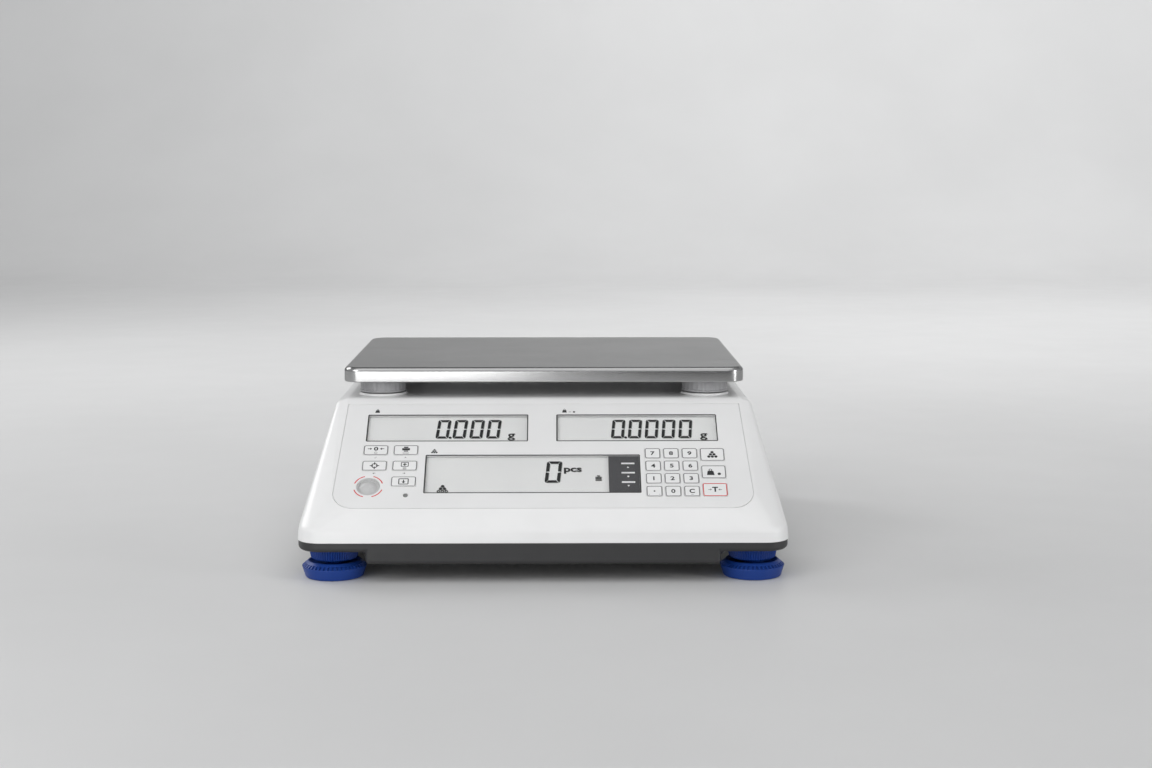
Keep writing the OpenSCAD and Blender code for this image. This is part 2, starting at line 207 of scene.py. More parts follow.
class Shape:
    """Faces gathered in millimetres, each with the number of its material."""

    def __init__(self):
        self.verts, self.faces, self.slots = [], [], []

    def add(self, solid, material=0, place=None):
        verts, faces = solid
        start = len(self.verts)
        self.verts += [place @ Vector(v) if place else Vector(v) for v in verts]
        self.faces += [[start + i for i in f] for f in faces]
        self.slots += [material] * len(faces)
        return self

    def add_all(self, solids, material=0, place=None):
        for solid in solids:
            self.add(solid, material, place)
        return self

    def mesh(self, name):
        mesh = bpy.data.meshes.new(name)
        mesh.from_pydata([v * MM for v in self.verts], [], self.faces)
        mesh.polygons.foreach_set("material_index", self.slots)
        work = bmesh.new()
        work.from_mesh(mesh)
        bmesh.ops.recalc_face_normals(work, faces=work.faces)
        work.to_mesh(mesh)
        work.free()
        return mesh

    def object(self, name):
        return link(name, self.mesh(name))


def smooth(obj):
    """Smooth shading with sharp edges, evened out by the size of the faces."""
    obj.data.shade_smooth()
    obj.data.set_sharp_from_angle(angle=math.radians(32))
    weighted = obj.modifiers.new("shading", "WEIGHTED_NORMAL")
    weighted.keep_sharp = True


def piece(obj, body, slot, replaces=(), materials=()):
    """Gives a new object its materials, smooth shading and its body, and hides the CAD nodes it stands for.

    Where no materials are named, it has the one with the slot's name.
    """
    for name in materials or [slot]:
        obj.data.materials.append(MATERIALS[name])
    smooth(obj)
    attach(obj, body)
    if replaces:
        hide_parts(*replaces)


def combine(obj, solids, operation):
    """Cuts solids out of obj, or joins them to it."""
    tool = Shape().add_all(solids).object("tool")
    step = obj.modifiers.new("step", "BOOLEAN")
    step.operation = operation
    step.solver = "EXACT"
    step.object = tool
    evaluated = obj.evaluated_get(bpy.context.evaluated_depsgraph_get())
    mesh = bpy.data.meshes.new_from_object(evaluated)
    work = bmesh.new()
    work.from_mesh(mesh)
    bmesh.ops.remove_doubles(work, verts=work.verts, dist=WELD)
    work.to_mesh(mesh)
    work.free()
    obj.modifiers.clear()
    obj.data = mesh
    bpy.data.objects.remove(tool)


def merge_flat(work):
    """Joins the faces of a bmesh that lie in one plane."""
    bmesh.ops.dissolve_limit(work, angle_limit=FLAT, verts=work.verts, edges=work.edges)


def round_edges(work, edges, reach, steps):
    bmesh.ops.bevel(work, geom=edges, offset=reach, segments=steps, profile=0.5,
                    affect="EDGES", clamp_overlap=True)


def solid_of(work):
    """The points and faces of a bmesh."""
    work.verts.index_update()
    return [v.co.copy() for v in work.verts], [[v.index for v in f.verts] for f in work.faces]


def on_panel(solid):
    """A solid given in the panel's frame, moved into the shared one."""
    verts, faces = solid
    return [PANEL @ Vector(v) for v in verts], faces


# ---- materials ----

MATERIALS = {}


class Tree:
    """A node tree and its shader, with short calls to add nodes."""

    def __init__(self, owner, shader):
        owner.use_nodes = True
        self.tree = owner.node_tree
        self.shader = self.tree.nodes[shader]

    def feed(self, socket, value):
        """Links a value to a socket, or sets it there."""
        if isinstance(value, bpy.types.NodeSocket):
            self.tree.links.new(value, socket)
        else:
            socket.default_value = value

    def add(self, kind, inputs=(), **settings):
        node = self.tree.nodes.new(kind)
        for key, value in settings.items():
            setattr(node, key, value)
        for key, value in dict(inputs).items():
            self.feed(node.inputs[key], value)
        return node

    def set(self, **inputs):
        """Feeds the shader's own sockets."""
        for key, value in inputs.items():
            self.feed(self.shader.inputs[key.replace("_", " ")], value)

    def calc(self, operation, first, second=0.0):
        return self.add("ShaderNodeMath", {0: first, 1: second}, operation=operation).outputs[0]

    def ramp(self, value, start, end, low=0.0, high=1.0):
        """Maps start..end to low..high."""
        inputs = {"Value": value, "From Min": start, "From Max": end, "To Min": low, "To Max": high}
        return self.add("ShaderNodeMapRange", inputs).outputs["Result"]

    def mix(self, factor, first, second):
        return self.add("ShaderNodeMix", {0: factor, 6: first, 7: second}, data_type="RGBA").outputs[2]


class Nodes(Tree):
    """A new material's nodes. It is kept in MATERIALS under its name."""

    def __init__(self, name):
        self.material = bpy.data.materials.new(name)
        super().__init__(self.material, "Principled BSDF")
        self.place = self.add("ShaderNodeTexCoord").outputs["Object"]
        MATERIALS[name] = self.material

    def noise(self, size_mm, detail, stretch=(1, 1, 1), roughness=0.5):
        """Noise of about that grain size. A stretch above 1 draws it out along that axis."""
        scale = Vector([1 / s for s in stretch])
        placed = self.add("ShaderNodeMapping", {"Vector": self.place, "Scale": scale})
        inputs = {"Vector": placed.outputs["Vector"], "Scale": 1 / (size_mm * MM),
                  "Detail": detail, "Roughness": roughness}
        return self.add("ShaderNodeTexNoise", inputs).outputs["Fac"]

    def span(self, value, low, high):
        """Maps noise, which lies mostly between 0.3 and 0.7, to low..high."""
        return self.ramp(value, 0.3, 0.7, low, high)

    def bump(self, height, depth_mm, under=None):
        inputs = {"Height": height, "Distance": depth_mm * MM, "Strength": 1.0}
        if under:
            inputs["Normal"] = under
        return self.add("ShaderNodeBump", inputs).outputs["Normal"]

    def edges(self):
        """0 on flats and 1 on outer edges."""
        return self.ramp(self.add("ShaderNodeNewGeometry").outputs["Pointiness"], 0.52, 0.62)


def tone(colour, factor):
    return (*[min(1.0, c * factor) for c in colour[:3]], 1.0)


def grey(level):
    return (level, level, level, 1.0)


def plastic(name, colour, roughness, grain_mm=0.35, grain_depth=0.012, wear=0.15, **sockets):
    """Moulded plastic: spark-eroded grain, faint mottling, uneven gloss and rubbed edges."""
    n = Nodes(name)
    mottled = n.mix(n.span(n.noise(38, 3), 0, 1), tone(colour, 0.98), tone(colour, 1.02))
    n.set(Base_Color=n.mix(n.calc("MULTIPLY", n.edges(), wear), mottled, tone(colour, 1.5)))
    n.set(Roughness=n.span(n.noise(9, 4), roughness - 0.04, roughness + 0.04))
    grain = n.bump(n.noise(grain_mm, 2), grain_depth)
    n.set(Normal=n.bump(n.noise(60, 2), 0.05, grain), **sockets)


def steel(name, level, roughness, stretch):
    """Bare metal with fine lines drawn out along one axis and faint smudges."""
    n = Nodes(name)
    lines = n.noise(0.22, 4, stretch, 0.7)
    streaks = n.noise(2.2, 3, stretch, 0.6)
    tint = n.mix(n.span(streaks, 0, 1), grey(level * 0.93), grey(level * 1.05))
    n.set(Base_Color=n.mix(n.span(lines, 0, 0.35), tint, grey(level * 0.8)), Metallic=1.0)
    gloss = n.span(n.noise(45, 4), roughness - 0.03, roughness + 0.05)
    rough = n.calc("ADD", gloss, n.span(lines, -0.04, 0.05))
    n.set(Roughness=rough, Normal=n.bump(lines, 0.004))


def brushed_pan():
    """Stainless sheet brushed from side to side, so the lines run down the end flanges."""
    n = Nodes("stainless_pan")
    along = n.noise(0.28, 4, (260, 1, 1), 0.7)
    down = n.noise(0.28, 4, (1, 1, 90), 0.7)
    faces = n.add("ShaderNodeSeparateXYZ", {0: n.add("ShaderNodeNewGeometry").outputs["Normal"]})
    on_end = n.ramp(n.calc("ABSOLUTE", faces.outputs["X"]), 0.6, 0.8)
    lines = n.mix(on_end, along, down)
    streaks = n.noise(3.5, 3, (120, 1, 1), 0.6)
    tint = n.mix(n.span(streaks, 0, 1), grey(0.46), grey(0.49))
    n.set(Base_Color=n.mix(n.span(lines, 0, 0.4), tint, grey(0.37)), Metallic=1.0)
    smudges = n.span(n.noise(55, 5), 0.16, 0.2)
    rough = n.calc("ADD", smudges, n.span(lines, -0.04, 0.05))
    n.set(Roughness=rough, Normal=n.bump(lines, 0.005), Specular_Tint=grey(0.55))


def printed(name, colour, roughness=0.5):
    """Screen-printed ink: slightly uneven cover on a matt film."""
    n = Nodes(name)
    n.set(Base_Color=n.mix(n.span(n.noise(0.8, 3), 0, 1), tone(colour, 0.88), tone(colour, 1.08)))
    n.set(Roughness=n.span(n.noise(0.5, 2), roughness - 0.08, roughness + 0.08))
    n.set(Normal=n.bump(n.noise(0.12, 2), 0.003))


def clear(name, colour, alpha, roughness=0.08):
    """Clear moulded window or glass with faint ripples and finger marks."""
    n = Nodes(name)
    n.set(Base_Color=(*colour, 1.0), Alpha=alpha, Specular_IOR_Level=0.3)
    n.set(Roughness=n.span(n.noise(14, 4), roughness * 0.6, roughness * 1.8))
    n.set(Normal=n.bump(n.noise(35, 2), 0.01))


def display_glass():
    """Reflective liquid crystal glass: pale grey with faint clouding."""
    n = Nodes("display_glass")
    n.set(Base_Color=n.mix(n.span(n.noise(30, 3), 0, 1), (0.86, 0.865, 0.86, 1), (0.9, 0.905, 0.895, 1)))
    n.set(Roughness=n.span(n.noise(5, 3), 0.32, 0.42))
    n.set(Normal=n.bump(n.noise(0.09, 2), 0.0015))


def circuit_board():
    """Solder mask over copper, with a faint pattern of tracks."""
    n = Nodes("circuit_board")
    placed = n.add("ShaderNodeMapping", {"Vector": n.place, "Scale": (1, 1, 0.2)})
    inputs = {"Vector": placed.outputs["Vector"], "Scale": 420.0}
    cells = n.add("ShaderNodeTexVoronoi", inputs, distance="CHEBYCHEV").outputs["Distance"]
    tracks = n.ramp(cells, 0.3, 0.36)
    n.set(Base_Color=n.mix(tracks, (0.012, 0.13, 0.045, 1), (0.02, 0.2, 0.075, 1)))
    n.set(Roughness=n.span(n.noise(1.5, 3), 0.28, 0.4), Normal=n.bump(tracks, 0.03))


def make_materials():
    plastic("white_shell", (0.78, 0.78, 0.78), 0.36, wear=0.1, Coat_Weight=0.15)
    plastic("dark_tray", (0.026, 0.026, 0.027), 0.5, 0.5, 0.03, wear=0.3)
    plastic("panel_film", (0.755, 0.755, 0.755), 0.46, 0.16, 0.006, wear=0)
    plastic("key_film", (0.775, 0.775, 0.775), 0.44, 0.16, 0.006, wear=0)
    plastic("grey_cap", (0.34, 0.34, 0.35), 0.4, 0.4, 0.012)
    plastic("blue_plastic", (0.007, 0.042, 0.24), 0.42, 0.45, 0.02, wear=0.12, Specular_IOR_Level=0.35)
    plastic("black_plastic", (0.02, 0.02, 0.021), 0.4, 0.4, 0.02)
    plastic("battery_wrap", (0.03, 0.09, 0.28), 0.3, 2.0, 0.03)
    clear("clear_window", (0.05, 0.05, 0.05), 0.06)
    plastic("dark_lens", (0.2, 0.2, 0.2), 0.3, 1.0, 0.004, wear=0)
    clear("level_glass", (0.56, 0.56, 0.56), 0.9, 0.2)
    plastic("level_dish", (0.5, 0.5, 0.5), 0.35, wear=0)
    display_glass()
    circuit_board()
    steel("machined_aluminium", 0.70, 0.30, (1, 40, 40))
    plastic("cast_aluminium", (0.5, 0.5, 0.51), 0.5, 0.8, 0.06, Metallic=1.0)
    steel("zinc_steel", 0.55, 0.32, (1, 1, 6))
    # very dark steel for the studs: painted shade between the lock nuts and the pads
    steel("stud_steel_painted_dark", 0.1, 0.4, (1, 1, 6))
    steel("brass_insert", 0.5, 0.3, (8, 8, 1))
    brushed_pan()
    printed("ink_black", (0.018, 0.018, 0.02))
    printed("ink_grey", (0.16, 0.16, 0.165))
    printed("ink_line", (0.09, 0.09, 0.093))
    # dark window borders: a printed line, plus a painted shadow along their top and left
    printed("frame_ink_and_painted_shadow", (0.03, 0.03, 0.03))
    printed("ink_red", (0.60, 0.012, 0.012))
    printed("ink_panel", (0.075, 0.075, 0.08), 0.35)
    printed("ink_light", (0.96, 0.96, 0.97))
    printed("lcd_segment", (0.004, 0.004, 0.005), 0.45)
    printed("lcd_shade", (0.42, 0.43, 0.41), 0.4)


# ---- the shell ----

_, BASE_HIGH = box_mm("upper_shell")
BASE_HALF = (BASE_HIGH.x, BASE_HIGH.y)
BASE_RADIUS = 18
SHELL_Z = 28                # joint between tray and shell
BAND_TOP = SHELL_Z + 9
FOOT_IN = 0.8               # how far the band leans in over its height
COLLAR_H = 1.7
TOP_Z = BASE_HIGH.z - COLLAR_H
TOP_HALF = 143.5            # half-width of the flat top
TOP_REAR = 152
BEVEL_OUT, BEVEL_DROP = 8, 3
REAR_CORNER = 9             # radius of the top's rear corners
PANEL_HALF = 148            # half-width of the panel at its lower edge
PANEL_RADIUS = 17
WALL = 3
HOLE_DEPTH = 10
EDGE_R, BREAK_R = 4.5, 10   # rounding of the shell's edges, and of the crease over the panel
# How far the middle of an edge's ball lies inside the edge, as shares of the ball's radius.
PANEL_IN, CREASE_IN, TOP_IN = 0.36, 0.18, 0.18
BEVEL_IN, BEVEL_DOWN = 0.85, 0.76
PANEL_TILT = math.acos(PANEL.col[2].z)


def panel_outline(shrink, depth):
    """Points of the sloping panel's rounded lower edge, that far inside it."""
    half, radius, points = PANEL_HALF - shrink, PANEL_RADIUS - shrink / 2, []
    for side in (-1, 1):
        for a in quarter_turn(16):
            x = side * (half - radius + radius * math.sin(a))
            points.append(tuple(PANEL @ Vector((x, shrink + radius * (1 - math.cos(a)), -depth))))
    return points


def break_points(shrink, depth):
    """The two ends of the crease between the panel and the top, that far inside both."""
    length = (TOP_Z - PANEL.translation.z) / PANEL.col[1].z
    up = Vector((0, length - depth * math.tan(PANEL_TILT / 2), -depth))
    return [tuple(PANEL @ (up + Vector((side * (TOP_HALF - shrink), 0, 0)))) for side in (-1, 1)]


def top_outline(out, drop, shrink, depth):
    """Points of one of the two rings round the flat top, from the break to the rear."""
    front = break_points(0, 0)[0][1] + depth * math.tan(PANEL_TILT / 2)
    half, rear, z = TOP_HALF + out - shrink, TOP_REAR + out - shrink, TOP_Z - drop - depth
    corner = REAR_CORNER - shrink
    points = []
    for side in (-1, 1):
        points.append((side * half, front, z))
        for a in quarter_turn(8):
            x = half - corner + corner * math.cos(a)
            points.append((side * x, rear - corner + corner * math.sin(a), z))
    return points


def ball(centre, radius):
    """Points on a sphere."""
    if not radius:
        return [centre]
    points, steps = [], 24
    for i in range(1, steps // 2):
        height, r = radius * math.cos(2 * math.pi * i / steps), radius * math.sin(2 * math.pi * i / steps)
        points += [(x, y, centre[2] + height) for x, y in circle(r, centre[:2], steps)]
    return points + [(centre[0], centre[1], centre[2] + end * radius) for end in (-1, 1)]


def shell_form(shrink, rounding=0, break_rounding=0):
    """The shell's form above its band as a convex mesh. Its edges are rounded by balls."""
    half = [h - FOOT_IN - shrink for h in BASE_HALF]
    foot = rounded_rect(*half, BASE_RADIUS - FOOT_IN, steps=16)
    points = ring(foot, BAND_TOP - shrink)
    depth = shrink + rounding
    for p in panel_outline(shrink + PANEL_IN * rounding, depth):
        points += ball(p, rounding)
    for p in break_points(shrink + CREASE_IN * break_rounding, shrink + break_rounding):
        points += ball(p, break_rounding)
    for p in top_outline(0, 0, shrink + TOP_IN * rounding, depth):
        if p[1] > 0:        # the front ends lie on the crease, which has its own balls
            points += ball(p, rounding)
    for p in top_outline(BEVEL_OUT, BEVEL_DROP, shrink + BEVEL_IN * rounding, shrink + BEVEL_DOWN * rounding):
        points += ball(p, rounding)
    work = bmesh.new()
    for p in points:
        work.verts.new(p)
    made = bmesh.ops.convex_hull(work, input=work.verts)
    unused = {e for e in made["geom_interior"] + made["geom_unused"] if isinstance(e, bmesh.types.BMVert)}
    bmesh.ops.delete(work, geom=list(unused), context="VERTS")
    merge_flat(work)
    return work, foot


def shell_blank():
    """The shell's outside with its band, its edges rounded, as one closed mesh."""
    work, foot = shell_form(0, EDGE_R, BREAK_R)
    band = rounded_rect(*BASE_HALF, BASE_RADIUS, steps=16)
    floor = min(work.faces, key=lambda f: f.calc_center_median().z)
    rim = list(floor.edges)
    bmesh.ops.delete(work, geom=[floor], context="FACES_ONLY")
    made = bmesh.ops.extrude_edge_only(work, edges=rim)["geom"]
    for vert in [v for v in made if isinstance(v, bmesh.types.BMVert)]:
        near = min(range(len(foot)), key=lambda i: math.dist(foot[i], vert.co.xy))
        vert.co.xy = band[near]
        vert.co.z = SHELL_Z
    bmesh.ops.contextual_create(work, geom=[e for e in made if isinstance(e, bmesh.types.BMEdge)])
    bmesh.ops.recalc_face_normals(work, faces=work.faces)
    for z, reach, steps in ((BAND_TOP, 2.4, 5), (SHELL_Z, 0.5, 2)):
        level = [e for e in work.edges if all(abs(v.co.z - z) < 0.01 for v in e.verts)]
        round_edges(work, level, reach, steps)
    mesh = bpy.data.meshes.new("upper_shell_form")
    for vert in work.verts:
        vert.co *= MM
    work.to_mesh(mesh)
    work.free()
    return mesh


def shell_cavity():
    """The space inside the shell, a wall's thickness in from its sharp form."""
    work, _ = shell_form(WALL)
    solid = solid_of(work)
    work.free()
    return solid


CAP_R = 17
COLLAR_R = CAP_R + 0.4
POST_HOLE_R = 9


def support_places():
    """Middles of the four support caps, from the corners of their node's box."""
    low, high = box_mm("support_caps")
    return [(x, y) for x in (low.x + CAP_R, high.x - CAP_R) for y in (low.y + CAP_R, high.y - CAP_R)]


def collar(centre):
    """Raised ring round a support, with a soft root and a rounded lip."""
    lip, flare, arc = 0.3, 0.8, quarter_turn(4)
    root = [(COLLAR_R + flare * (1 - math.sin(a)), TOP_Z + 1.0 * (1 - math.cos(a)) - 0.02) for a in arc]
    top = [(COLLAR_R - lip * (1 - math.cos(a)), TOP_Z + COLLAR_H - lip * (1 - math.sin(a))) for a in arc]
    return turned([(COLLAR_R + flare, TOP_Z - 1)] + root + top, centre, 72)


def panel_cut(outline):
    """A cut through the panel's wall, under the film."""
    return on_panel(prism(outline, -HOLE_DEPTH, -0.5))


def window_cut(node, grow):
    low, high = panel_extent(node)
    x0, x1, v0, v1 = low.x - grow, high.x + grow, low.y - grow, high.y + grow
    return panel_cut([(x0, v0), (x1, v0), (x1, v1), (x0, v1)])


def round_cut(node, grow):
    centre, half = middle_and_half(*panel_extent(node))
    return panel_cut(circle(half[0] + grow, centre, 64))


WINDOWS = ("weight_window", "piece_weight_window", "count_window")
FILM_HALF = (146, 142)      # half-width of the film at its lower and upper edge
FILM_TOP = 105.5
FILM_RADIUS = 15
STACK = 1.1                 # film and switch layer together
LED_AT, LED_R = (-95.6, 14.3), 1.6


def film_outline(grow):
    """Outline of the printed film, which narrows upwards."""
    radius, points = FILM_RADIUS, []
    half_low, half_top = FILM_HALF[0] + grow, FILM_HALF[1] + grow
    low, top = FILM_FROM_EDGE - grow, FILM_TOP + grow
    for a in quarter_turn(12):
        points.append((half_low - radius + radius * math.sin(a), low + radius * (1 - math.cos(a))))
    points.append((half_top, top))
    return points + [(-x, v) for x, v in reversed(points)]


def upper_shell():
    """The moulded shell: hollow, with collars, the film's recess and the holes through the wall."""
    obj = link("upper_shell_skin", shell_blank())
    combine(obj, [shell_cavity()], "DIFFERENCE")
    inside = rounded_rect(BASE_HALF[0] - WALL, BASE_HALF[1] - WALL, BASE_RADIUS - WALL)
    combine(obj, [prism(inside, SHELL_Z - 1, BAND_TOP + 0.5)], "DIFFERENCE")
    combine(obj, [collar(p) for p in support_places()], "UNION")
    combine(obj, [on_panel(prism(film_outline(0.25), -STACK, 2))], "DIFFERENCE")
    holes = [prism(circle(POST_HOLE_R, p), TOP_Z - 3 * WALL, TOP_Z + 5) for p in support_places()]
    holes += [window_cut(window, 3) for window in WINDOWS]
    holes += [round_cut("level_vial", 0.1), panel_cut(circle(LED_R + 0.25, LED_AT, 24))]
    combine(obj, holes, "DIFFERENCE")
    piece(obj, "housing", "white_shell", ["upper_shell"])


# ---- the tray ----

TRAY_LOW, TRAY_HIGH = box_mm("lower_tray")
TRAY_RADIUS = 17.5
TRAY_EDGE = 3               # rounding of the tray's lower edges
TRAY_FLOOR = 2
TRAY_WALL = 2.5
RAISED_Z = 21.4             # underside of the tray over the lock nuts
POCKET_R = 24
FEET = ("front_left", "front_right", "rear_left", "rear_right")


def foot_place(name):
    centre = centre_mm("lock_nut_" + name)
    return centre.x, centre.y


def pocket(name, radius, z0, z1):
    """The space under a raised corner: round towards the middle and open at the corner."""
    x, y = foot_place(name)
    sx, sy, far = math.copysign(1, x), math.copysign(1, y), 40
    outline = [(x + sx * far, y - sy * radius)]
    for a in quarter_turn(12):
        outline.append((x - sx * radius * math.sin(a), y - sy * radius * math.cos(a)))
    outline += [(x - sx * radius, y + sy * far), (x + sx * far, y + sy * far)]
    return prism(outline, z0, z1)


def tray_outline(inset):
    return rounded_rect(TRAY_HIGH.x - inset, TRAY_HIGH.y - inset, TRAY_RADIUS - inset, steps=12)


def tray_blank():
    """The tray's outside as a solid with rounded edges."""
    obj = Shape().add(prism(tray_outline(0), TRAY_LOW.z, SHELL_Z)).object("lower_tray_shell")
    combine(obj, [pocket(f, POCKET_R, TRAY_LOW.z - 5, RAISED_Z) for f in FEET], "DIFFERENCE")
    work = bmesh.new()
    work.from_mesh(obj.data)
    merge_flat(work)
    rounded = [e for e in work.edges if e.calc_face_angle(0) > math.radians(30)
               and min(v.co.z for v in e.verts) < (SHELL_Z - 1) * MM]
    round_edges(work, rounded, TRAY_EDGE * MM, 5)
    work.to_mesh(obj.data)
    work.free()
    return obj


def cylinder_y(radius, x, z, y0, y1, steps=40):
    return loft([[(px, y, pz) for px, pz in circle(radius, (x, z), steps)] for y in (y0, y1)])


def port_outline(grow, x, z):
    """D shape of the serial connector."""
    wide, narrow, high = 8.4 + grow, 7.1 + grow, 4 + grow
    return [(x - wide, z + high), (x + wide, z + high), (x + narrow, z - high), (x - narrow, z - high)]


SOCKET_Z = 22.6


def lower_tray():
    """The tray, hollowed to its wall and floor, with the raised corners over the feet."""
    obj = tray_blank()
    combine(obj, [prism(tray_outline(TRAY_WALL), RAISED_Z + TRAY_FLOOR, SHELL_Z + 1)], "DIFFERENCE")
    well = Shape().add(prism(tray_outline(TRAY_WALL), TRAY_LOW.z + TRAY_FLOOR, RAISED_Z + 3)).object("well")
    combine(well, [pocket(f, POCKET_R + TRAY_WALL, TRAY_LOW.z, SHELL_Z) for f in FEET], "DIFFERENCE")
    solid = [tuple(v.co / MM) for v in well.data.vertices], [list(p.vertices) for p in well.data.polygons]
    bpy.data.objects.remove(well)
    combine(obj, [solid], "DIFFERENCE")
    combine(obj, tray_holes(), "DIFFERENCE")
    piece(obj, "housing", "dark_tray", ["lower_tray"])


def islands(node):
    """Middles of a CAD node's separate solids, in millimetres."""
    work = bmesh.new()
    work.from_mesh(CAD[node].data)
    bmesh.ops.remove_doubles(work, verts=work.verts, dist=1e-6)
    left, found = set(work.verts), []
    while left:
        queue, group = [left.pop()], []
        while queue:
            vert = queue.pop()
            group.append(vert.co.copy() / MM)
            for edge in vert.link_edges:
                other = edge.other_vert(vert)
                if other in left:
                    left.remove(other)
                    queue.append(other)
        low, high = corners_of(group)
        found.append(tuple((low + high) / 2))
    work.free()
    return sorted(found)


def tray_holes():
    """Cuts under screws, bolts and battery, and through the rear wall for the two sockets."""
    z0, z1 = TRAY_LOW.z - 1, TRAY_LOW.z + TRAY_FLOOR + 1
    cuts = []
    for node, radius in (("casing_screws", 3.1), ("load_cell_bolts", 5.4)):
        cuts += [prism(circle(radius, middle), z0, z1) for middle in islands(node)]
    centre, half = middle_and_half(*box_mm("battery_door"))
    cuts.append(prism(rounded_rect(half[0] + 0.5, half[1] + 0.5, 0.8, centre), z0, z1))
    y0, y1 = TRAY_HIGH.y - TRAY_WALL - 1, TRAY_HIGH.y + 1
    cuts.append(cylinder_y(4.2, centre_mm("dc_jack").x, SOCKET_Z, y0, y1))
    port = port_outline(0.3, centre_mm("serial_port").x, SOCKET_Z)
    cuts.append(loft([[(x, y, z) for x, z in port] for y in (y0, y1)]))
    return cuts


def battery_door():
    """Door with grip ribs, hinged on a rod at its front edge."""
    low, high = box_mm("battery_door")
    shape = Shape().add(block((low.x, low.y + 1, low.z), (high.x, high.y, high.z), 2.5, 0.5))
    rod = [[(x, y, z) for y, z in circle(1, (low.y + 1, low.z + 1), 24)] for x in (low.x, high.x)]
    shape.add(loft(rod))
    for i in range(5):
        y = high.y - 6 - 3 * i
        shape.add(block((-11, y - 0.6, low.z - 0.6), (11, y + 0.6, low.z + 0.5), 0.5, 0.3, 3))
    piece(shape.object("battery_cover"), "battery_door", "dark_tray", ["battery_door"])


# ---- pan and supports ----

PAN_SHEET = 1.5
PAN_RADIUS = 13
PAN_EDGE = 3.4


def pan():
    """Sheet pan: flat top, rounded edge, hollow below, with a rounded lip at the foot of its rim."""
    low, high = box_mm("pan")
    arc, lip = quarter_turn(8), PAN_SHEET / 2
    inner_r, bend_z = PAN_EDGE - PAN_SHEET, high.z - PAN_EDGE
    profile = [(PAN_EDGE - inner_r * math.cos(a), bend_z + inner_r * math.sin(a)) for a in reversed(arc)]
    for i in range(7):
        a = math.pi * i / 6
        profile.append((lip - lip * math.cos(a + math.pi), low.z + lip - lip * math.sin(a)))
    profile += [(PAN_EDGE - PAN_EDGE * math.cos(a), bend_z + PAN_EDGE * math.sin(a)) for a in arc]
    solid = stacked(profile, *middle_and_half(low, high), PAN_RADIUS, 14)
    piece(Shape().add(solid).object("weighing_pan"), "pan", "stainless_pan", ["pan"])


def support_caps():
    """Grey caps with broad shallow flutes, on the posts of the weighing frame."""
    low, high = box_mm("support_caps")
    flutes, depth, bore, bore_top = 26, 0.35, 7.05, high.z - 6.4

    def cut(angle, radius, z):
        if radius < CAP_R - 0.6 or z > high.z - 1.4 or z < low.z + 1.6:
            return 0, 0
        return depth * (0.5 - 0.5 * math.cos(flutes * angle)), 0
    edge = [(CAP_R - inset, z) for inset, z in rounded_wall(low.z, high.z, 0.6)]
    body = edge[:4] + [(CAP_R, low.z + 1.3), (CAP_R - 0.25, low.z + 1.5), (CAP_R - 0.25, low.z + 1.7)]
    body += [(CAP_R - 0.05, high.z - 1.5), (CAP_R, high.z - 1.2)] + edge[4:]
    profile = [(0.1, bore_top), (bore, bore_top), (bore, low.z)] + body
    shape = Shape().add_all([turned(profile, p, 260, waves=cut) for p in support_places()])
    piece(shape.object("support_cap_set"), "weighing_frame", "grey_cap", ["support_caps"])


# ---- levelling feet ----

def teeth(count, angle):
    """1 on a tooth and 0 between teeth, with steep flanks."""
    return min(1.0, max(0.0, 0.5 + 1.6 * math.cos(count * angle)))


def foot_pad(name):
    """Blue pad: tapering wall, a notched edge under a smooth chamfer, a dished top and a hub."""
    low, high = box_mm("foot_pad_" + name)
    pad_r, hub_z, edge_z, rim_z, notches = (high.x - low.x) / 2, 11, 7.8, high.z, 44
    notch_top = edge_z + 2.1

    def cut(angle, radius, z):
        if not edge_z + 0.2 < z < notch_top or radius < pad_r - 4.9:
            return 0, 0
        gap = 1 - teeth(notches, angle)
        return 0.9 * gap, 0.5 * gap
    wall = [(pad_r - 3.6, 0), (pad_r - 3, 0.08), (pad_r - 2.5, 0.4), (pad_r - 2.15, 1)]
    wall += [(pad_r - 0.3, edge_z - 0.9), (pad_r - 0.05, edge_z - 0.2), (pad_r - 0.1, edge_z + 0.15)]
    chamfer = [(pad_r - 0.5, edge_z + 0.45), (pad_r - 2.2, notch_top - 0.15), (pad_r - 2.5, notch_top)]
    chamfer.append((pad_r - 3.9, rim_z - 0.35))
    rim = [(pad_r - 4.3, rim_z - 0.06), (pad_r - 4.6, rim_z)]
    rim += [(pad_r - 5.1, rim_z), (pad_r - 5.5, rim_z - 0.2)]
    dish = [(pad_r - 6.7, 10.6), (pad_r - 8.2, 9.65), (8.8, 9.6)]
    dish += [(7.8, 9.7), (7.25, 10.1), (7, hub_z - 0.4)]
    hub = [(6.6, hub_z), (4.4, hub_z), (4.05, hub_z - 0.3), (4.05, 2.6), (0.1, 2.6)]
    shape = Shape().add(turned(wall + chamfer + rim + dish + hub, foot_place(name), 440, waves=cut))
    piece(shape.object("foot_" + name), "foot_pad_" + name, "blue_plastic", ["foot_pad_" + name])


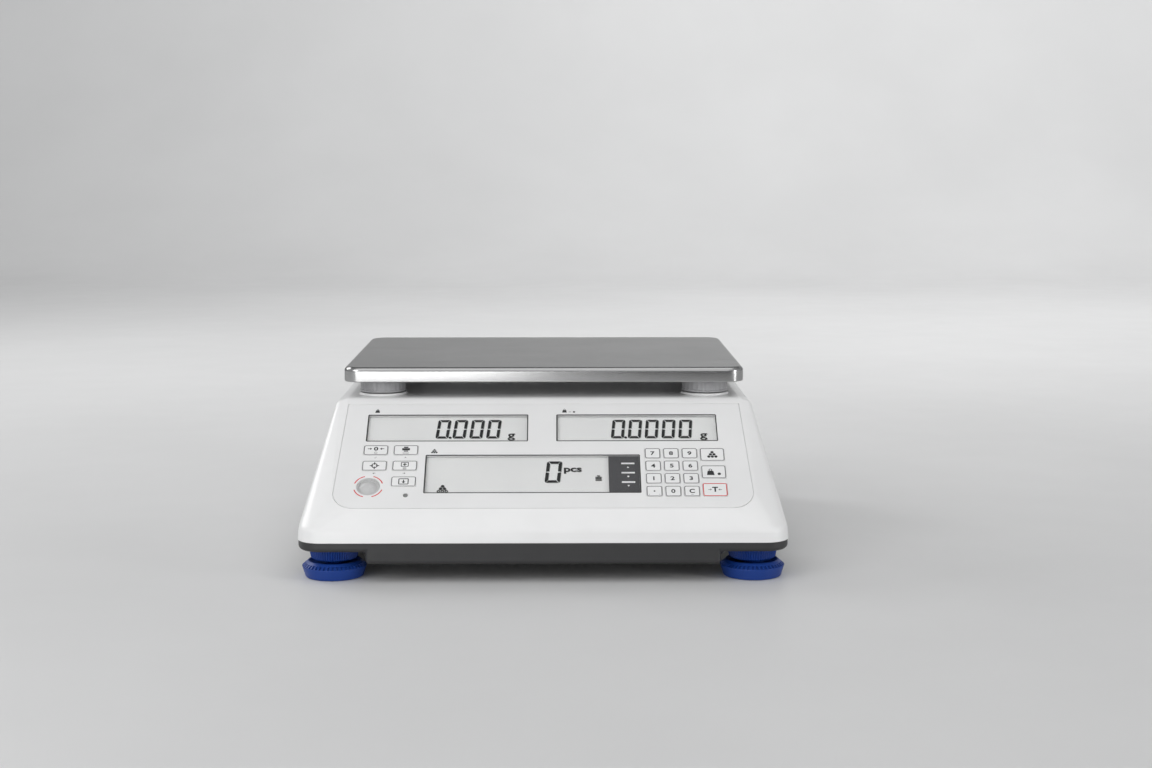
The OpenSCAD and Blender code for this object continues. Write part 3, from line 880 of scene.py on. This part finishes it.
def lock_nut(name):
    """Knurled lock nut, a little wider at its top."""
    low, high = box_mm("lock_nut_" + name)
    nut_r, knurls = (high.x - low.x) / 2, 60

    def cut(angle, radius, z):
        if radius < nut_r - 2.2:
            return 0, 0
        return 0.8 * (0.5 - 0.5 * math.cos(knurls * angle)), 0
    outside = [(nut_r - 4, low.z), (nut_r - 3, low.z + 0.05)]
    outside += [(nut_r - 1.6, low.z + 0.8), (nut_r - 1.2, low.z + 1.3)]
    outside += [(nut_r - 0.1, high.z - 1.9), (nut_r, high.z - 1.3), (nut_r - 0.3, high.z - 0.7)]
    outside += [(nut_r - 1, high.z - 0.1), (nut_r - 2.3, high.z)]
    bore = [(4.5, high.z), (4.05, high.z - 0.4), (4.05, low.z + 0.4), (4.5, low.z)]
    shape = Shape().add(turned(outside + bore, foot_place(name), 480, closed=True, waves=cut))
    piece(shape.object("nut_" + name), "lock_nut_" + name, "blue_plastic", ["lock_nut_" + name])


def foot_stud(name):
    """Threaded stud with a chamfered top end, in a very dark steel that paints in the shade between nut and
    pad.
    """
    low, high = box_mm("foot_stud_" + name)
    centre, radius = foot_place(name), (high.x - low.x) / 2
    pitch, depth, around, per_turn = 1.5, 0.55, 32, 6
    rings, z = [], low.z
    while z < high.z + 1e-6:
        points = []
        for i in range(around):
            a = 2 * math.pi * i / around
            phase = ((z - low.z) / pitch - i / around) % 1
            thread = depth * abs(2 * phase - 1)
            taper = max(0, z - (high.z - 1)) * 0.8
            r = radius - max(thread, taper)
            points.append((centre[0] + r * math.cos(a), centre[1] + r * math.sin(a), z))
        rings.append(points)
        z += pitch / per_turn
    piece(Shape().add(loft(rings)).object("stud_" + name), "foot_stud_" + name, "zinc_steel",
          ["foot_stud_" + name], ["stud_steel_painted_dark"])


# ---- print on the panel ----

INK = 0.03                  # thickness of a printed mark


def bar(x0, y0, x1, y1, width, n):
    """A straight stroke between two points."""
    a, b = Vector((x0, y0)), Vector((x1, y1))
    along = (b - a).normalized()
    side = Vector((-along.y, along.x)) * width / 2
    return prism([tuple(a - side), tuple(b - side), tuple(b + side), tuple(a + side)], n, n + INK)


def strokes(x, y, size, width, lines, n):
    """Straight strokes whose ends and width are shares of the sign's size."""
    return [bar(x + x0 * size, y + y0 * size, x + x1 * size, y + y1 * size, width * size, n)
            for x0, y0, x1, y1 in lines]


def disc(x, y, radius, n):
    return prism(circle(radius, (x, y), 20), n, n + INK)


def hoop(x, y, radius, width, n):
    return frame_prism(circle(radius, (x, y), 28), circle(radius - width, (x, y), 28), n, n + INK)


def arc_band(x, y, radius, width, start, end, n):
    """A piece of a ring between two angles in degrees."""
    angles = [math.radians(start + (end - start) * i / 10) for i in range(11)]
    outer = [(x + radius * math.cos(a), y + radius * math.sin(a)) for a in angles]
    inner = [(x + (radius - width) * math.cos(a), y + (radius - width) * math.sin(a)) for a in angles]
    return prism(outer + inner[::-1], n, n + INK)


def shape_at(points, x, y, size, n):
    return prism([(x + px * size, y + py * size) for px, py in points], n, n + INK)


def outline_band(low, high, radius, inset, width, n):
    """A printed line round a rounded rectangle."""
    centre, half = middle_and_half(low, high)
    outer = rounded_rect(half[0] - inset, half[1] - inset, max(radius - inset, 0.05), centre, 6)
    inset += width
    inner = rounded_rect(half[0] - inset, half[1] - inset, max(radius - inset, 0.03), centre, 6)
    return frame_prism(outer, inner, n, n + INK)


def lettering(text, x, y, height, n, weight, wide=1.0):
    """Characters in the built-in typeface, centred at a point."""
    curve = bpy.data.curves.new("lettering", "FONT")
    curve.body = text
    curve.extrude = 0.01
    curve.offset = weight
    curve.resolution_u = 5
    writer = bpy.data.objects.new("lettering", curve)
    mesh = bpy.data.meshes.new_from_object(writer)
    work = bmesh.new()
    work.from_mesh(mesh)
    bmesh.ops.remove_doubles(work, verts=work.verts, dist=1e-5)
    points, faces = solid_of(work)
    work.free()
    bpy.data.objects.remove(writer)
    low, high = corners_of(points, 2)
    scale, middle = height / (high.y - low.y), (low + high) / 2
    verts = [(x + (p.x - middle.x) * scale * wide, y + (p.y - middle.y) * scale,
              n + (INK if p.z > 0 else 0)) for p in points]
    return verts, faces


def pile(x, y, size, n, hollow_foot=False):
    """A heap of parts: rows of one, two and three dots."""
    solids = []
    for row, count in enumerate((3, 2, 1)):
        for i in range(count):
            px, py = x + (i - (count - 1) / 2) * size, y + row * size * 0.86
            if hollow_foot and row == 0:
                solids.append(hoop(px, py, size * 0.44, size * 0.24, n))
            else:
                solids.append(disc(px, py, size * 0.46, n))
    return solids


def weight_sign(x, y, size, n):
    """A cast weight: a tapered body under a ring."""
    body = shape_at([(-0.5, -0.5), (0.5, -0.5), (0.36, 0.25), (-0.36, 0.25)], x, y, size, n)
    return [body, hoop(x, y + size * 0.4, size * 0.22, size * 0.09, n)]


def arrow(x, y, direction, size, n):
    """A short arrow along x."""
    head = shape_at([(0, 0.32 * direction), (0, -0.32 * direction), (0.42 * direction, 0)], x, y, size, n)
    return [head] + strokes(x, y, size, 0.16, [(-0.5 * direction, 0, 0, 0)], n)


def arrows_inwards(x, y, reach, size, n):
    return arrow(x - reach, y, 1, size, n) + arrow(x + reach, y, -1, size, n)


def cross_hair(x, y, size, n):
    ways = ((1, 0), (-1, 0), (0, 1), (0, -1))
    lines = [(0.18 * dx, 0.18 * dy, 0.62 * dx, 0.62 * dy) for dx, dy in ways]
    return [hoop(x, y, size * 0.42, size * 0.13, n)] + strokes(x, y, size, 0.13, lines, n)


def printer_sign(x, y, size, n):
    body = shape_at([(-0.6, -0.28), (0.6, -0.28), (0.6, 0.18), (-0.6, 0.18)], x, y, size, n)
    paper = shape_at([(-0.34, 0.24), (0.34, 0.24), (0.34, 0.5), (-0.34, 0.5)], x, y, size, n)
    slip = shape_at([(-0.34, -0.34), (0.34, -0.34), (0.34, -0.55), (-0.34, -0.55)], x, y, size, n)
    return [body, paper, slip]


def boxed(x, y, size, n, inner):
    """A small frame round a sign."""
    low, high = Vector((x - size * 0.62, y - size * 0.5)), Vector((x + size * 0.62, y + size * 0.5))
    return [outline_band(low, high, size * 0.12, 0, size * 0.12, n)] + inner


def plus_sign(x, y, size, n):
    lines = [(-0.5, 0, 0.5, 0), (0, 0.15, 0, 0.5), (0, -0.5, 0, -0.15)]
    return strokes(x, y, size, 0.3, lines, n)


def down_arrow(x, y, size, n):
    head = shape_at([(-0.4, 0), (0, -0.5), (0.4, 0)], x, y, size, n)
    return strokes(x, y, size, 0.22, [(0, 0, 0, 0.5)], n) + [head]


def menu_lines(x, y, size, n):
    return strokes(x, y, size, 0.14, [(-0.5, dy, 0.5, dy) for dy in (-0.3, 0, 0.3)], n)


def power_sign(x, y, size, n):
    gap_ring = arc_band(x, y, size / 2, size * 0.14, 120, 420, n)
    return [gap_ring] + strokes(x, y, size, 0.14, [(0, 0, 0, 0.6)], n)


def tick_sign(x, y, size, n):
    return strokes(x, y, size, 0.14, [(-0.45, 0, -0.1, -0.35), (-0.1, -0.35, 0.5, 0.35)], n)


def cross_sign(x, y, size, n):
    return strokes(x, y, size, 0.14, [(-0.35, -0.35, 0.35, 0.35), (-0.35, 0.35, 0.35, -0.35)], n)


# ---- keys ----

KEY_RADIUS, KEY_EDGE = 1.6, 0.22
KEY_FILM, KEY_LINE, KEY_INK, KEY_GREY = 0, 1, 2, 3


def key_legend(name, x, v, n):
    """What is printed on a key: black marks and grey second marks."""
    if name in "0123456789":
        return [lettering(name, x, v, 3.7, n, 0.03, 1.2)], []
    if name == "point":
        return [disc(x, v, 0.65, n)], [disc(x + side, v - 3.1, 0.28, n) for side in (-3.6, 3.6)]
    if name == "clear":
        underline = bar(x - 0.8, v - 3.3, x + 0.8, v - 3.3, 0.3, n)
        return [lettering("C", x, v, 4, n, 0.03, 1.05)], [underline]
    if name == "tare":
        return [lettering("T", x, v + 0.2, 4.8, n, 0.035)], arrows_inwards(x, v, 3.4, 2.8, n)
    if name == "zero":
        nought = lettering("0", x, v + 1.3, 3.7, n, 0.035, 1.25)
        return [nought] + arrows_inwards(x, v + 1.3, 4.2, 3.4, n), power_sign(x, v - 2.6, 2.3, n)
    return picture_legend(name, x, v, n)


def picture_legend(name, x, v, n):
    """Legends of the keys whose words became signs."""
    if name == "print":
        return printer_sign(x, v + 1.0, 4.6, n), [bar(x - 2.2, v - 3, x + 2.2, v - 3, 0.5, n)]
    if name == "target":
        return cross_hair(x, v, 5.4, n), []
    if name == "memory_add":
        return boxed(x, v + 1.2, 4.4, n, plus_sign(x, v + 1.2, 2.6, n)), menu_lines(x, v - 2.8, 2.6, n)
    if name == "memory":
        return boxed(x, v, 5.8, n, down_arrow(x, v - 0.1, 3.4, n)), []
    if name == "sample":
        return pile(x, v - 2.1, 2.5, n), []
    return weight_sign(x - 2.2, v - 0.4, 5.4, n) + [disc(x + 3.8, v - 2.0, 1.2, n)], []


def key(node):
    """One raised key of the film, its printed outline and its legend."""
    low, high = panel_extent(node)
    name = node.removeprefix("key_")
    centre, half = middle_and_half(low, high)
    upper_edge = rounded_wall(low.z, high.z, KEY_EDGE)[4:]
    solid = stacked([(0, low.z)] + upper_edge, centre, half, KEY_RADIUS, 6)
    shape = Shape().add(solid, KEY_FILM, PANEL)
    n = high.z - INK / 3
    line = 0.62 if name == "tare" else 0.5
    shape.add(outline_band(low, high, KEY_RADIUS, 0.18, line, n), KEY_LINE, PANEL)
    black, faint = key_legend(name, *centre, n)
    shape.add_all(black, KEY_INK, PANEL).add_all(faint, KEY_GREY, PANEL)
    outline = "ink_red" if name == "tare" else "ink_line"
    materials = ["key_film", outline, "ink_black", "ink_grey"]
    piece(shape.object(node + "_cap"), node, "panel_film", [node], materials)


LABEL_V = 98.1              # v of the two upper windows' labels
WEIGHT_LABEL_X, PIECE_LABEL_X = -120.5, 15
COUNT_LABEL_AT = (-77.5, 55.9)


def panel_print():
    """Window borders, small signs and the broken ring round the level, on the film. Each border is a printed
    line, widened at its top and left into a painted shadow of the window's recess.
    """
    shape, n = Shape(), -INK / 3
    dark, black, red, thin = 0, 1, 2, 3
    for window in WINDOWS:
        (x, v), half = middle_and_half(*panel_extent(window))
        # The outer edge sits up and to the left, so each border is wider at its top and left: painted shadow
        # of the recessed window.
        outer = rounded_rect(half[0] + 0.95, half[1] + 0.95, 0.9, (x - 0.1, v + 0.15), 4)
        inner = rounded_rect(half[0] + 0.05, half[1] + 0.05, 0.1, (x, v), 4)
        shape.add(frame_prism(outer, inner, n, n + INK), dark, PANEL)
    signs = weight_sign(WEIGHT_LABEL_X, LABEL_V, 3.4, n) + weight_sign(PIECE_LABEL_X, LABEL_V, 3.4, n)
    x, v = PIECE_LABEL_X, LABEL_V - 1
    signs += [bar(x + 3.1, v, x + 4.5, v, 0.4, n), disc(x + 6.9, v, 0.85, n)]
    signs += pile(*COUNT_LABEL_AT, 1.6, n)
    centre, _ = middle_and_half(*panel_extent("level_vial"))
    arcs = [arc_band(*centre, 10.5, 0.75, start, start + 56, n) for start in (17, 107, 197, 287)]
    shape.add_all(signs, black, PANEL).add_all(arcs, red, PANEL).add_all(under_key_signs(n), thin, PANEL)
    materials = ["frame_ink_and_painted_shadow", "ink_black", "ink_red", "ink_line"]
    piece(shape.object("panel_print"), "housing", "panel_film", materials=materials)


def under_key_signs(n):
    """Grey signs under the left-hand keys: yes, no, back and leave."""
    places = []
    for node in ("key_zero", "key_print", "key_target", "key_memory_add"):
        low, high = panel_extent(node)
        places.append(((low.x + high.x) / 2, low.y - 2.3))
    yes, no, back, leave = places
    signs = tick_sign(*yes, 1.7, n) + cross_sign(*no, 1.7, n)
    return signs + arrow(*back, -1, 2.2, n) + arrow(*leave, 1, 2.2, n)


# ---- displays ----

GLASS_N = -2.0              # face of the display glasses
SLANT = 0.09                # lean of the digits
DIGIT_STEP = 12.1
UPPER_V, COUNT_V = 81.4, 38.4   # v of the middle of the digits
UPPER_ROWS = ((-72.2, 4, -23.3), (53.6, 5, 114.8))   # x of the first digit, how many, x of the unit
COUNT_X, COUNT_UNIT_X, COUNT_PILE_X, BATTERY_X = 7, 20.6, -70.4, 38.6


def segment_digit(x, v, wide, high, stroke, n):
    """The digit nought of a seven-segment display: six chamfered bars."""
    gap, cut = 0.16, stroke * 0.55
    half_w, half_h = wide / 2, high / 2
    outlines = []
    for side in (-1, 1):
        for end in (-1, 1):
            outer, inner = side * half_w, side * (half_w - stroke)
            tip = end * (half_h - gap)
            outlines.append([(outer, end * gap * 1.8), (outer, tip - end * cut),
                             (outer - side * cut * 0.6, tip), (inner, tip - end * stroke),
                             (inner, end * (gap * 1.8 + stroke * 0.2))])
    for end in (-1, 1):
        top, low = end * half_h, end * (half_h - stroke)
        edge = half_w - stroke * 0.45
        short = edge - stroke * 0.75
        outlines.append([(-edge, top), (edge, top), (short, low), (-short, low)])
    solids = []
    for outline in outlines:
        leaned = [(x + px + SLANT * py, v + py) for px, py in outline]
        solids.append(prism(leaned, n, n + INK))
    return solids


def battery_sign(x, v, n):
    """Three charge bars under a cap. x and v are the middle of the lowest bar."""
    bars = [bar(x - 2.2, v + 1.4 * i, x + 2.2, v + 1.4 * i, 1.0, n) for i in range(3)]
    return bars + [bar(x - 1, v + 4.2, x + 1, v + 4.2, 0.9, n)]


def upper_display(left, count, unit_x, n):
    """A row of noughts with a point after the first, and the unit g."""
    marks = []
    for i in range(count):
        marks += segment_digit(left + DIGIT_STEP * i, UPPER_V, 9.3, 18.8, 2.1, n)
    marks.append(disc(left + 5.1, UPPER_V - 8.6, 1.05, n))
    marks.append(lettering("g", unit_x, UPPER_V - 8, 6.9, n, 0.015, 1.2))
    return marks


def display_marks(n):
    """Everything that the three liquid crystal glasses show."""
    marks = []
    for left, count, unit_x in UPPER_ROWS:
        marks += upper_display(left, count, unit_x, n)
    marks += segment_digit(COUNT_X, COUNT_V, 10.8, 20.8, 2.35, n)
    marks.append(lettering("pcs", COUNT_UNIT_X, COUNT_V + 1.3, 5.8, n, 0.03, 1.25))
    marks += pile(COUNT_PILE_X, COUNT_V - 18.4, 2.75, n, hollow_foot=True)
    return marks + battery_sign(BATTERY_X, COUNT_V - 8, n)


def displays():
    """The marks, and the faint shade that each throws on the layer below."""
    shape = Shape().add_all(display_marks(GLASS_N + 0.02), 0, PANEL)
    shade = Matrix.Translation((0.35, -0.45, 0))
    shape.add_all(display_marks(GLASS_N - INK * 0.8), 1, PANEL @ shade)
    piece(shape.object("display_marks"), "housing", "display_glass",
          materials=["lcd_segment", "lcd_shade"])


def limit_print():
    """Dark print behind the count window's right end, with three pale bars and their signs."""
    low, high = panel_extent("count_window")
    lights_low, _ = panel_extent("limit_lights")
    face = -FILM - 0.04
    back = block((lights_low.x, low.y, face - 0.3), (high.x, high.y, face), 0.1, 0.02, 2)
    x, v = (lights_low.x + high.x) / 2 + 2.8, (low.y + high.y) / 2 + 1.5
    n, pitch, half_bar = face - INK / 3, 9.1, Vector((4.7, 0.75, 0))
    marks = []
    for i in (-1, 0, 1):
        middle = Vector((x, v + pitch * i, n))
        marks.append(block(middle - half_bar, middle + half_bar + Vector((0, 0, 0.05)), 0.3, 0.01, 2))
    size, sign_v = 1.5, v - 3.6
    marks.append(shape_at([(-0.6, -0.5), (0.6, -0.5), (0, 0.55)], x, sign_v + pitch, size, n))
    marks.append(disc(x, sign_v, 0.75, n))
    marks.append(shape_at([(-0.6, 0.5), (0, -0.55), (0.6, 0.5)], x, sign_v - pitch, size, n))
    plate = Shape().add(back, 0, PANEL).add_all(marks, 1, PANEL)
    piece(plate.object("limit_print"), "housing", "dark_lens", materials=["ink_panel", "ink_light"])


# ---- level ----

def level():
    """Domed glass over a grey dish with a marked circle."""
    low, high = panel_extent("level_vial")
    centre, (radius, _) = middle_and_half(low, high)
    barrel = [(radius, low.z), (radius, -0.75), (radius - 0.5, -0.45)]
    barrel += [(radius - 0.9, -0.5), (radius - 1.1, -1.2)]
    dish = Shape().add(turned(barrel, centre, 72), 0, PANEL)
    dish.add(hoop(*centre, 3.1, 0.3, -1.2 - INK / 3), 1, PANEL)
    piece(dish.object("level_dish"), "housing", "level_glass", ["level_vial"], ["level_dish", "ink_grey"])
    glass_r, foot = radius - 0.55, -2.8
    rise = high.z - foot
    sphere = (glass_r ** 2 + rise ** 2) / (2 * rise)
    widest = math.asin(glass_r / sphere)
    profile = [(glass_r, foot - 0.3)]
    for i in range(13):
        a = widest * (1 - i / 12.2)
        profile.append((sphere * math.sin(a), high.z - sphere * (1 - math.cos(a))))
    dome = Shape().add(turned(profile, centre, 72), 0, PANEL)
    piece(dome.object("level_dome"), "housing", "level_glass")


# ---- small fittings ----

def status_light():
    """Smoked lens over the status light."""
    profile = [(LED_R, -0.1), (LED_R - 0.1, -0.02), (LED_R - 0.4, 0), (0.1, 0)]
    shape = Shape().add(turned(profile, LED_AT, 32), 0, PANEL)
    piece(shape.object("status_lens"), "housing", "dark_lens")


def serial_pins():
    """Black insulator with nine pins inside the serial connector."""
    x, y, z = centre_mm("serial_port").x, box_mm("serial_port")[1].y, SOCKET_Z
    face = port_outline(-0.7, x, z)
    shape = Shape().add(loft([[(px, depth, pz) for px, pz in face] for depth in (y - 0.2, y + 0.02)]))
    for row, count in ((1.4, 5), (-1.4, 4)):
        for i in range(count):
            px = x + (i - (count - 1) / 2) * 2.77
            shape.add(cylinder_y(0.5, px, z + row, y, y + 0.6, 16), 1)
    materials = ["black_plastic", "brass_insert"]
    piece(shape.object("serial_contacts"), "housing", "black_plastic", materials=materials)


CARRIED = {
    "panel_film": ("front_overlay", "key_membrane"),
    "clear_window": WINDOWS,
    "display_glass": ("weight_lcd", "piece_weight_lcd", "count_lcd"),
    "dark_lens": ("limit_lights",),
    "circuit_board": ("display_board", "main_board"),
    "machined_aluminium": ("load_cell", "load_cell_plate"),
    "zinc_steel": ("load_cell_bolts", "overload_stops", "casing_screws", "frame_bolts", "serial_port"),
    "brass_insert": ("foot_inserts",),
    "cast_aluminium": ("weighing_frame",),
    "battery_wrap": ("battery",),
    "black_plastic": ("dc_jack",),
}


def carry_over():
    """Gives the CAD pieces that stay their materials."""
    for material, nodes in CARRIED.items():
        for node in nodes:
            CAD[node].data.materials.clear()
            CAD[node].data.materials.append(MATERIALS[material])


# ---- stage ----

def backdrop():
    """A pale floor that curves up into a wall."""
    half, depth, height, bend, back = 6.0, 4.5, 1.9, 1.2, 2.6
    profile = [(-depth, 0.0), (back, 0.0)]
    for a in quarter_turn(16)[1:]:
        profile.append((back + bend * math.sin(a), bend * (1 - math.cos(a))))
    profile.append((back + bend, height))
    verts = [(side * half, y, z - 0.00002) for y, z in profile for side in (-1, 1)]
    faces = [(2 * i, 2 * i + 1, 2 * i + 3, 2 * i + 2) for i in range(len(profile) - 1)]
    mesh = bpy.data.meshes.new("backdrop")
    mesh.from_pydata(verts, [], faces)
    mesh.shade_smooth()
    n = Nodes("pale_floor")
    n.set(Base_Color=n.mix(n.span(n.noise(400, 4), 0, 1), grey(0.66), grey(0.70)))
    n.set(Roughness=n.span(n.noise(60, 3), 0.42, 0.5), Normal=n.bump(n.noise(2, 3), 0.02))
    mesh.materials.append(n.material)
    obj = link("backdrop", mesh)


def area_light(name, place, target, size, power):
    light = bpy.data.lights.new(name, "AREA")
    light.shape = "RECTANGLE"
    light.size, light.size_y = size
    light.energy = power
    obj = link(name, light)
    obj.location = place
    obj.rotation_mode = "QUATERNION"
    obj.rotation_quaternion = (Vector(target) - Vector(place)).to_track_quat("-Z", "Y")


def lights():
    """A soft key at the left, with fill from the front, the top, the rear and the sides."""
    middle = (0, 0, 0.08)
    area_light("key", (-1.6, -1.6, 1.35), middle, (1.3, 1.5), 14.5)
    area_light("front", (-0.1, -2.3, 1.5), middle, (2.4, 1.5), 5)
    area_light("top", (0.1, -0.6, 1.9), middle, (2.4, 1.4), 8.5)
    area_light("rear_left", (-1.4, 0.9, 1.1), middle, (0.9, 0.8), 9)
    area_light("side", (1.7, -0.9, 0.4), (0.1, 0, 0.1), (0.3, 0.8), 8)
    area_light("rim_card", (-0.55, -1.2, 0.1), (-0.45, 0, 0.1), (1.0, 0.18), 2.7)
    area_light("backdrop_light", (1.0, 1.0, 2.1), (1.0, 3.7, 0.6), (2.2, 0.5), 52)


def sky():
    """Pale sky, darker high up behind the object, where the pan's top reflects it."""
    world = bpy.data.worlds.new("studio")
    bpy.context.scene.world = world
    n = Tree(world, "Background")
    direction = n.add("ShaderNodeTexCoord").outputs["Generated"]
    direction = n.add("ShaderNodeSeparateXYZ", {0: direction}).outputs
    up, behind = n.ramp(direction["Z"], 0.3, 0.6), n.ramp(direction["Y"], -0.15, 0.25)
    pale, darker = (0.86, 0.87, 0.88, 1), (0.46, 0.465, 0.47, 1)
    n.set(Color=n.mix(n.calc("MULTIPLY", up, behind), pale, darker), Strength=0.5)
    bpy.context.scene.view_settings.view_transform = "Standard"


def flag():
    """Dark card out of the picture, low at the right, which the rim's right end reflects."""
    card = Shape().add(block((50, -1208, 2), (1100, -1200, 200), 1, 0.5))
    obj = card.object("flag")
    n = Nodes("flag_cloth")
    n.set(Base_Color=n.mix(n.span(n.noise(5, 3), 0, 1), grey(0.03), grey(0.05)), Roughness=0.9)
    obj.data.materials.append(n.material)
    obj.visible_camera = False


CAMERA_AT = (0.0094, -1.4225, 0.298)
CAMERA_DOWN, CAMERA_RIGHT = 7.27, 0.595   # degrees
CAMERA_LENS = 58.44


def camera():
    data = bpy.data.cameras.new("camera")
    data.lens = CAMERA_LENS
    data.sensor_width = 36
    data.dof.use_dof = False
    obj = link("camera", data)
    obj.location = CAMERA_AT
    obj.rotation_euler = (math.radians(90 - CAMERA_DOWN), 0, math.radians(-CAMERA_RIGHT))
    bpy.context.scene.camera = obj


make_materials()
camera()
upper_shell()
lower_tray()
battery_door()
pan()
support_caps()
for foot in FEET:
    foot_pad(foot)
    lock_nut(foot)
    foot_stud(foot)
for node in sorted(CAD):
    if node.startswith("key_") and node != "key_membrane":
        key(node)
panel_print()
displays()
limit_print()
level()
status_light()
serial_pins()
carry_over()
backdrop()
flag()
lights()
sky()
